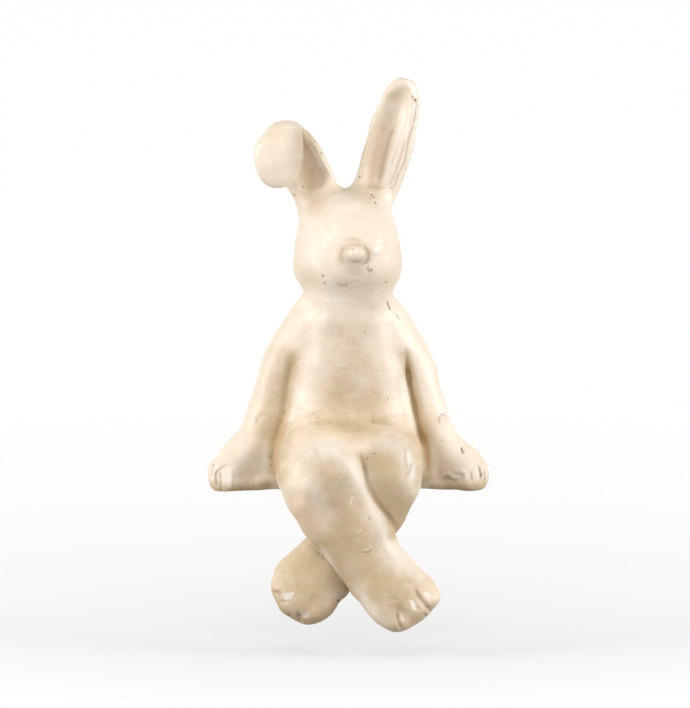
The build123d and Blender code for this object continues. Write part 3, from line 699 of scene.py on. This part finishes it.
def outer_shell(corners, quads):
    """The shell that holds the highest corner: its corners, quads and links between corners."""
    links = np.unique(np.sort(quads[:, QUAD_EDGES].reshape(-1, 2), axis=1), axis=0)
    shell = grow(np.arange(len(corners)), links)
    keep = shell == shell[np.argmax(corners[:, 2])]
    number = np.cumsum(keep) - 1
    return corners[keep], number[quads[keep[quads[:, 0]]]], number[links[keep[links[:, 0]]]]


def relax(points, links, rounds=2, forth=0.5, back=-0.52):
    """Smooths points along their links without shrinking them."""
    counts = np.bincount(links.ravel(), minlength=len(points)).astype(float)
    for step in range(rounds * 2):
        total = np.empty_like(points)
        for axis in range(3):
            total[:, axis] = np.bincount(links[:, 0], points[links[:, 1], axis], len(points))
            total[:, axis] += np.bincount(links[:, 1], points[links[:, 0], axis], len(points))
        share = forth if step % 2 == 0 else back
        points = points + share * (total / counts[:, None] - points)
    return points


def corner_normals(points, faces):
    """Smooth outward directions at the corners of quads."""
    across = points[faces[:, 2]] - points[faces[:, 0]]
    up = points[faces[:, 3]] - points[faces[:, 1]]
    face = np.cross(across, up)
    out = np.zeros_like(points)
    for corner in range(4):
        for axis in range(3):
            out[:, axis] += np.bincount(faces[:, corner], face[:, axis], len(points))
    return out / np.maximum(np.linalg.norm(out, axis=1, keepdims=True), 1e-12)


skin, quads, links = outer_shell(*surface())
skin = relax(skin, links)
normals = corner_normals(skin, quads)
if np.sum(normals[:, 2] * skin[:, 2]) < 0:
    quads = quads[:, ::-1]
    normals = -normals

# Each quad belongs to the section that is nearest to it, and each corner to one of those
names = list(SOFTEN)
label = np.argmin([sample(*blocks[name], skin[quads].mean(1)) for name in names], axis=0)
owner = np.zeros(len(skin), int)
owner[quads] = label[:, None]


def hollowness(size):
    """How hollow, or with a minus how proud, the form is around each corner."""
    coarse = 2 * VOXEL
    clipped = np.clip(field[::2, ::2, ::2], -HOLLOW_LIMIT, HOLLOW_LIMIT)
    spread = soften(clipped, size, coarse, shrink=True)
    return -sample(spread, low / 2, skin, coarse, 0.0) / size


hollows = {title: hollowness(size) for title, size in HOLLOW_SIZES.items()}


def lean_and_push(places):
    """Leans the left arm and right cheek, makes the small pushes and flares the paws, in place."""
    x, z = places[:, 0], places[:, 2]
    arm = ease(x, *ARM_ACROSS) * ease(z, *ARM_UP) * ease(z, *ARM_DOWN)
    cheek = ease(x, *CHEEK_ACROSS) * ease(z, *CHEEK_UP) * ease(z, *CHEEK_DOWN)
    places[:, 0] -= ARM_LEAN * arm + CHEEK_LEAN * cheek
    height = view_height(places[:, 1], z)
    for across, up, sideways, upward, reach in PUSHES:
        near = np.exp(-((x - across) ** 2 + (height - up) ** 2) / reach**2)
        places += near[:, None] * np.array((sideways, 0.0, upward))
    flare = ease(np.abs(x), *PAW_ACROSS) * ease(z, *PAW_DOWN) * ease(places[:, 1], *PAW_AHEAD)
    places[:, 1] -= PAW_FLARE * flare


def unevenness(places):
    """Unevenness left by the hands, as a sum of long waves."""
    rng = np.random.default_rng(UNEVEN_SEED)
    total = np.zeros(len(places))
    for _ in range(UNEVEN_WAVES):
        heading = rng.normal(size=3)
        heading *= 2 * math.pi / (rng.uniform(*UNEVEN_LENGTHS) * np.linalg.norm(heading))
        total += np.cos(places @ heading + rng.uniform(0, 2 * math.pi))
    return UNEVEN_HEIGHT * total


lean_and_push(skin)
on_shelf = skin[:, 1] > SHELF_EDGE
skin[on_shelf, 2] = np.maximum(skin[on_shelf, 2], 0)
off_shelf = np.where(on_shelf, ease(skin[:, 2], *FLAT_EDGE), 1.0)
skin += normals * (unevenness(skin) * off_shelf)[:, None]

# The front view of the skin, and what the marks do to each corner
seen = np.stack([skin[:, 0], view_height(skin[:, 1], skin[:, 2])], 1)
front = -(normals @ SIGHT)
facing = front > CUTS_FACE[0]
turned = ease(front, *WASHES_FACE)
moved, dark, pale, patina_and_painted_light, grey = np.zeros((5, len(skin)))


def within(path, reach, sections="", side=facing):
    """Corners on one side that are near a line, on the named sections or on any."""
    places = np.array(path)
    near = np.all((seen > places.min(0) - reach) & (seen < places.max(0) + reach), axis=1) & side
    chosen = [names.index(name) for name in sections.split()]
    if chosen:
        near &= np.isin(owner, chosen)
    return np.flatnonzero(near)


def cut_line(sections, reach, depth, darkness, paleness, path):
    """Cuts a line or raises a ridge, with its colour."""
    here = within(path, reach * LINE_MARGIN, sections)
    distance, along = line_distance(*seen[here].T, path)
    fade = 1.0
    if len(path) > 2:
        fade = np.minimum(1, END_SHARE + END_RATE * np.minimum(along, 1 - along))
    close = np.maximum(1 - (distance / reach) ** 2, 0) ** 2 * fade * ease(front[here], *CUTS_FACE)
    moved[here] += depth * close
    dark[here] = np.maximum(dark[here], darkness * close)
    pale[here] = np.maximum(pale[here], paleness * close)


def sink_pit(across, up, radius):
    """Sinks a small dark pit."""
    here = within([(across, up)], radius * PIT_MARGIN)
    distance = np.hypot(seen[here, 0] - across, seen[here, 1] - up)
    close = ease(distance, radius * PIT_RIM, radius * PIT_FLOOR)
    moved[here] += PIT_DEPTH * radius * close
    dark[here] = np.maximum(dark[here], close)


def inside_outline(places, outline):
    """Which places in the front view lie inside a closed outline."""
    inside = np.zeros(len(places), bool)
    for (ax, ah), (bx, bh) in zip(outline, outline[1:] + outline[:1]):
        crosses = (places[:, 1] < ah) != (places[:, 1] < bh)
        with np.errstate(divide="ignore", invalid="ignore"):
            crossing = ax + (places[:, 1] - ah) / (bh - ah) * (bx - ax)
        inside ^= crosses & (places[:, 0] < crossing)
    return inside


def cut_chip(sections, depth, paleness, lean, outline):
    """Cuts a flat chip that is deepest on one side."""
    here = within(outline, CHIP_MARGIN, sections)
    places = seen[here]
    distance, _ = line_distance(*places.T, outline + outline[:1])
    inside = inside_outline(places, outline)
    depth_in = np.where(inside, distance, -distance)
    side = (places - np.mean(outline, axis=0)) @ np.array(lean)
    share = 0.5 + 0.5 * side / np.abs(side[inside]).max()
    moved[here] += depth * share * ease(depth_in, *CHIP_EDGE)
    pale[here] = np.maximum(pale[here], paleness * ease(depth_in, *CHIP_SHINE))


def brush_patina_and_painted_light(reach, strength, tone, path):
    """Brushes patina along a path, softly round to the sides. Some paths paint shade, and a negative
    strength paints light.
    """
    here = within(path, reach * WASH_MARGIN, side=turned > 0)
    distance, _ = line_distance(*seen[here].T, path)
    coat = strength * turned[here] * np.exp(-((distance / reach) ** 2))
    patina_and_painted_light[here] += coat
    grey[here] += coat * tone


for line in LINES:
    cut_line(*line)
for pit in PITS:
    sink_pit(*pit)
for chip in FACETS:
    cut_chip(*chip)
for stroke in WASHES_OF_PATINA_AND_PAINTED_LIGHT:
    brush_patina_and_painted_light(*stroke)
grey /= np.maximum(np.abs(patina_and_painted_light), LEAST_WASH)
patina_and_painted_light = np.minimum(patina_and_painted_light, MOST_WASH)

skin -= normals * moved[:, None]
normals = corner_normals(skin, quads)
attributes = {**hollows, "dark": dark, "pale": pale, "patina_and_painted_light": patina_and_painted_light, "grey": grey}


def math_node(nodes, wires, kind, *values):
    """Result of a math node that is fed by sockets or plain numbers."""
    node = nodes.new("ShaderNodeMath")
    node.operation = kind
    for socket, value in zip(node.inputs, values):
        if isinstance(value, (int, float)):
            socket.default_value = value
        else:
            wires.new(value, socket)
    return node.outputs["Value"]


# Colours of the ceramic
CREAM = (0.93, 0.83, 0.70)
WARM_CREAM = (0.88, 0.75, 0.60)
BRUSHED_CREAM = (0.94, 0.875, 0.77)
TAN = (0.77, 0.62, 0.43)
# patina browns, also used for painted shade
OCHRE = (0.51, 0.355, 0.18)
GREY_BROWN = (0.465, 0.37, 0.24)
HONEY_GLAZE = (0.80, 0.62, 0.40)
SPECKLE_BROWN = (0.33, 0.22, 0.12)
# pale wear and chips, and painted highlights
PALE_WEAR_AND_HIGHLIGHT = (0.94, 0.91, 0.86)
# dark pits, cuts and cracks, and the painted shade in the crease behind the front leg
CUT_AND_SHADE_BROWN = (0.23, 0.145, 0.075)

# How quickly patina and painted shade hide the glaze
PATINA_AND_PAINTED_SHADE_RATE = 1.35


def ceramic():
    """Aged cream glaze over clay, with brown patina left in the hollows, and painted shade and
    highlights.
    """
    material = bpy.data.materials.new("ceramic")
    material.use_nodes = True
    nodes, wires = material.node_tree.nodes, material.node_tree.links
    shader = nodes["Principled BSDF"]
    shader.inputs["Specular IOR Level"].default_value = 0.65
    place = nodes.new("ShaderNodeTexCoord").outputs["Object"]

    def noise(scale, detail, rough=0.5, distortion=0.0, stretch_by=None):
        node = nodes.new("ShaderNodeTexNoise")
        node.inputs["Scale"].default_value = scale
        node.inputs["Detail"].default_value = detail
        node.inputs["Roughness"].default_value = rough
        node.inputs["Distortion"].default_value = distortion
        source = place
        if stretch_by:
            mapping = nodes.new("ShaderNodeMapping")
            mapping.inputs["Scale"].default_value = stretch_by
            wires.new(place, mapping.inputs["Vector"])
            source = mapping.outputs["Vector"]
        wires.new(source, node.inputs["Vector"])
        return node.outputs["Fac"]

    def attribute(name):
        node = nodes.new("ShaderNodeAttribute")
        node.attribute_name = name
        return node.outputs["Fac"]

    def stretch(value, low, high, to_low=0.0, to_high=1.0):
        node = nodes.new("ShaderNodeMapRange")
        node.interpolation_type = "SMOOTHSTEP"
        node.inputs["From Min"].default_value = low
        node.inputs["From Max"].default_value = high
        node.inputs["To Min"].default_value = to_low
        node.inputs["To Max"].default_value = to_high
        wires.new(value, node.inputs["Value"])
        return node.outputs["Result"]

    def join(kind, a, b):
        return math_node(nodes, wires, kind, a, b)

    def tint(share, below, above):
        node = nodes.new("ShaderNodeMix")
        node.data_type = "RGBA"
        wires.new(share, node.inputs["Factor"])
        for socket, value in ((node.inputs[6], below), (node.inputs[7], above)):
            if isinstance(value, tuple):
                socket.default_value = (*value, 1)
            else:
                wires.new(value, socket)
        return node.outputs[2]

    # Cream glaze, cloudy, brushed and mottled
    clouds = noise(55, 4, 0.55)
    streaks = noise(85, 5, 0.65, 0.4, (1.0, 1.0, 6.0))
    mottle = noise(330, 6, 0.75)
    grain = noise(900, 2, 0.6)
    colour = tint(stretch(clouds, 0.36, 0.64), CREAM, WARM_CREAM)
    colour = tint(stretch(streaks, 0.5, 0.72, 0.0, 0.4), colour, BRUSHED_CREAM)
    colour = tint(stretch(mottle, 0.48, 0.78, 0.0, 0.5), colour, TAN)

    # Patina in the hollows and where it was washed on, with the washes' painted shade and painted
    # light, patchy and grainy
    grime_and_painted_light = join(
        "ADD",
        stretch(attribute("hollow_wide"), 0.04, 0.5, 0.0, 0.75),
        stretch(attribute("hollow_fine"), 0.03, 0.5),
    )
    grime_and_painted_light = join("ADD", grime_and_painted_light, attribute("patina_and_painted_light"))
    patchy = join(
        "MULTIPLY",
        stretch(noise(150, 4, 0.6), 0.25, 0.75, 0.65, 1.25),
        stretch(grain, 0.3, 0.7, 0.88, 1.12),
    )
    grime_and_painted_light = join("MULTIPLY", join("MAXIMUM", grime_and_painted_light, 0.0), patchy)
    toned = join("ADD", attribute("grey"), stretch(noise(70, 3), 0.35, 0.65, -0.2, 0.2))
    brown = tint(stretch(toned, 0.0, 1.0), OCHRE, GREY_BROWN)
    brown = tint(stretch(toned, -0.1, -0.8), brown, HONEY_GLAZE)
    cover = join("SUBTRACT", 1.0, join("POWER", math.exp(-PATINA_AND_PAINTED_SHADE_RATE), grime_and_painted_light))
    colour = tint(cover, colour, brown)

    # Specks in the patina, paler worn ridges, chips and painted highlights, and dark cuts, pits and the
    # painted shade in the crease behind the front leg
    speckle = nodes.new("ShaderNodeTexVoronoi")
    speckle.inputs["Scale"].default_value = 680
    wires.new(place, speckle.inputs["Vector"])
    dots = stretch(speckle.outputs["Distance"], 0.26, 0.08)
    dots = join("MULTIPLY", dots, stretch(noise(95, 2), 0.53, 0.66))
    dots = join("MULTIPLY", dots, stretch(grime_and_painted_light, 0.25, 0.8, 0.0, 0.7))
    colour = tint(dots, colour, SPECKLE_BROWN)
    colour = tint(attribute("pale"), colour, PALE_WEAR_AND_HIGHLIGHT)
    colour = tint(attribute("dark"), colour, CUT_AND_SHADE_BROWN)
    wires.new(colour, shader.inputs["Base Color"])
    satin = stretch(clouds, 0.3, 0.7, 0.36, 0.46)
    duller = stretch(grime_and_painted_light, 0.0, 1.0, 0.0, 0.18)
    wires.new(join("ADD", satin, duller), shader.inputs["Roughness"])

    # Fine unevenness of the glaze
    bump = nodes.new("ShaderNodeBump")
    bump.inputs["Strength"].default_value = 0.35
    bump.inputs["Distance"].default_value = 0.0004
    height = join("ADD", noise(260, 4, 0.6), join("MULTIPLY", grain, 0.35))
    height = join("ADD", height, join("MULTIPLY", streaks, 0.8))
    wires.new(join("SUBTRACT", height, dots), bump.inputs["Height"])
    wires.new(bump.outputs["Normal"], shader.inputs["Normal"])
    return material


def open_loops(faces, count):
    """Loops of the open edges of a set of quads, as lists of corners."""
    edges = faces[:, QUAD_EDGES].reshape(-1, 2)
    keys = edges[:, 0] * count + edges[:, 1]
    back = edges[:, 1] * count + edges[:, 0]
    open_edges = edges[~np.isin(keys, back)]
    following = {int(b): int(a) for a, b in open_edges}
    loops = []
    while following:
        start, here = following.popitem()
        loop = [start]
        while here != start and here in following:
            loop.append(here)
            here = following.pop(here)
        loops.append(loop)
    return [loop for loop in loops if len(loop) > 2]


def closing_walls(points, away, loops):
    """Walls sunk into the clay that close the loops of a section: their corners and faces."""
    corners = []
    walls = []
    for loop in loops:
        ring = loop
        centre = points[loop].mean(0)
        for share, sink in WALL_RINGS:
            first = len(points) + len(corners)
            inner = list(range(first, first + len(loop)))
            corners.extend(points[loop] * (1 - share) + centre * share - away[loop] * sink)
            walls.extend(zip(ring, ring[1:] + ring[:1], inner[1:] + inner[:1], inner))
            ring = inner
        middle = len(points) + len(corners)
        corners.append(centre - away[loop].mean(0))
        walls.extend((a, b, middle) for a, b in zip(ring, ring[1:] + ring[:1]))
    return np.reshape(corners, (-1, 3)), walls


def add_piece(name, chosen, material):
    """Makes a section's share of the skin a piece of its own, closed at its joints."""
    used = np.unique(chosen)
    faces = np.searchsorted(used, chosen)
    points, away = skin[used], normals[used]
    corners, walls = closing_walls(points, away, open_loops(faces, len(used)))
    mesh = bpy.data.meshes.new(name + "_skin")
    mesh.from_pydata(np.vstack([points, corners]) / MM, [], faces.tolist() + walls)
    mesh.update()
    piece = bpy.data.objects.new(name + "_skin", mesh)
    bpy.context.scene.collection.objects.link(piece)
    mesh.materials.append(material)
    mesh.shade_smooth()
    for title, values in attributes.items():
        layer = mesh.attributes.new(title, "FLOAT", "POINT")
        values = np.append(values[used], np.zeros(len(corners))).astype(np.float32)
        layer.data.foreach_set("value", values)
    away = np.vstack([away, np.zeros_like(corners)])
    mesh.normals_split_custom_set_from_vertices([tuple(n) for n in away])
    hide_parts(name)
    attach(piece, "root")


glaze = ceramic()
for i, name in enumerate(names):
    add_piece(name, quads[label == i], glaze)

# Floor under the feet, in metres: half its width, gap below the feet, and how brightly it
# shows to the camera far away and by how much less under the figure
FLOOR_REACH = 8.0
FLOOR_GAP = 0.012
FLOOR_GLOW = 0.845
FLOOR_DIP = 0.315
DIP_FALL = 2.0
PAPER_GREY = (0.36, 0.36, 0.36)

# Light from all round, warm where it falls on the clay and white where it is seen
ROUND_LIGHT = 0.42
ROUND_TINT = (1.0, 0.955, 0.895)
WHITE = (1, 1, 1)


def seen_rays(nodes, wires):
    """1 for rays from the camera, in reflections and through glass, and 0 for the rest."""
    rays = nodes.new("ShaderNodeLightPath").outputs
    seen_or_mirrored = math_node(nodes, wires, "MAXIMUM", rays["Is Camera Ray"], rays["Is Glossy Ray"])
    return math_node(nodes, wires, "MAXIMUM", seen_or_mirrored, rays["Is Transmission Ray"])


def paper():
    """Pale matte paper that shows nearly white to the camera and keeps the figure's shadow."""
    material = bpy.data.materials.new("paper")
    material.use_nodes = True
    nodes, wires = material.node_tree.nodes, material.node_tree.links
    matte = nodes["Principled BSDF"]
    matte.inputs["Base Color"].default_value = (*PAPER_GREY, 1)
    matte.inputs["Roughness"].default_value = 0.9
    matte.inputs["Specular IOR Level"].default_value = 0.0
    matte.inputs["Emission Color"].default_value = (*WHITE, 1)
    spread = nodes.new("ShaderNodeVectorMath")
    spread.operation = "LENGTH"
    wires.new(nodes.new("ShaderNodeTexCoord").outputs["Object"], spread.inputs[0])
    fall = math_node(nodes, wires, "POWER", math.exp(-DIP_FALL), spread.outputs["Value"])
    lift = math_node(nodes, wires, "MULTIPLY_ADD", fall, -FLOOR_DIP, FLOOR_GLOW)
    glow = math_node(nodes, wires, "MULTIPLY", seen_rays(nodes, wires), lift)
    wires.new(glow, matte.inputs["Emission Strength"])
    return material


def add_floor():
    """One wide sheet of paper a little below the feet."""
    level = cad_low[2] - FLOOR_GAP
    sides = ((-1, -1), (1, -1), (1, 1), (-1, 1))
    corners = [(x * FLOOR_REACH, y * FLOOR_REACH, level) for x, y in sides]
    mesh = bpy.data.meshes.new("floor")
    mesh.from_pydata(corners, [], [(0, 1, 2, 3)])
    mesh.materials.append(paper())
    floor = bpy.data.objects.new("floor", mesh)
    bpy.context.scene.collection.objects.link(floor)


def add_backdrop():
    """White backdrop that gives soft warm light from all round."""
    world = bpy.data.worlds.new("world")
    bpy.context.scene.world = world
    world.use_nodes = True
    nodes, wires = world.node_tree.nodes, world.node_tree.links
    background = nodes["Background"]
    seen_share = seen_rays(nodes, wires)
    level = nodes.new("ShaderNodeMapRange")
    level.inputs["To Min"].default_value = ROUND_LIGHT
    level.inputs["To Max"].default_value = 1.0
    wires.new(seen_share, level.inputs["Value"])
    wires.new(level.outputs["Result"], background.inputs["Strength"])
    shade = nodes.new("ShaderNodeMix")
    shade.data_type = "RGBA"
    shade.inputs[6].default_value = (*ROUND_TINT, 1)
    shade.inputs[7].default_value = (*WHITE, 1)
    wires.new(seen_share, shade.inputs["Factor"])
    wires.new(shade.outputs[2], background.inputs["Color"])


# The picture in pixels, the size of one pixel in millimetres, and the pixel at the middle
# of the seat
WIDTH, HEIGHT = 690, 708
PIXEL = 0.4545
SEAT_X, SEAT_Y = 348.5, 487.0

# Camera distance in metres, and its film in millimetres
CAMERA_DISTANCE = 8.0
FILM = 36.0
CLIP_END = 50


def add_camera():
    """Long lens, a little above, square to the front."""
    data = bpy.data.cameras.new("camera")
    camera = bpy.data.objects.new("camera", data)
    bpy.context.scene.collection.objects.link(camera)
    right = Vector((1, 0, 0)) * ((WIDTH / 2 - SEAT_X) * PIXEL / MM)
    up = Vector((0, math.sin(TILT), math.cos(TILT))) * ((SEAT_Y - HEIGHT / 2) * PIXEL / MM)
    camera.location = right + up - Vector(SIGHT) * CAMERA_DISTANCE
    camera.rotation_euler = (math.radians(90.0) - TILT, 0, 0)
    data.sensor_fit = "VERTICAL"
    data.sensor_width = data.sensor_height = FILM
    data.lens = FILM * CAMERA_DISTANCE / (HEIGHT * PIXEL / MM)
    data.clip_end = CLIP_END
    bpy.context.scene.camera = camera


# Softboxes: place and target in metres, width in metres, power in watts
SOFTBOXES = {
    "left_softbox": ((-1.10, -0.50, 0.34), (0, 0, 0.05), 0.8, 9.8),
    "right_softbox": ((1.10, -0.48, 0.33), (0, 0, 0.05), 0.8, 9.6),
    "top_softbox": ((0, -0.9, 0.95), (0, 0, 0.05), 0.7, 2.9),
    "low_fill": ((0, -1.3, -0.02), (0, 0, 0.08), 0.6, 0.6),
}


def add_softbox(name, place, target, width, power):
    """Round area lamp that faces its target."""
    data = bpy.data.lights.new(name, "AREA")
    data.shape = "DISK"
    data.size = width
    data.energy = power
    lamp = bpy.data.objects.new(name, data)
    lamp.location = place
    lamp.rotation_euler = (Vector(target) - Vector(place)).to_track_quat("-Z", "Y").to_euler()
    bpy.context.scene.collection.objects.link(lamp)


add_floor()
add_backdrop()
add_camera()
for name, softbox in SOFTBOXES.items():
    add_softbox(name, *softbox)
bpy.context.scene.view_settings.view_transform = "Standard"
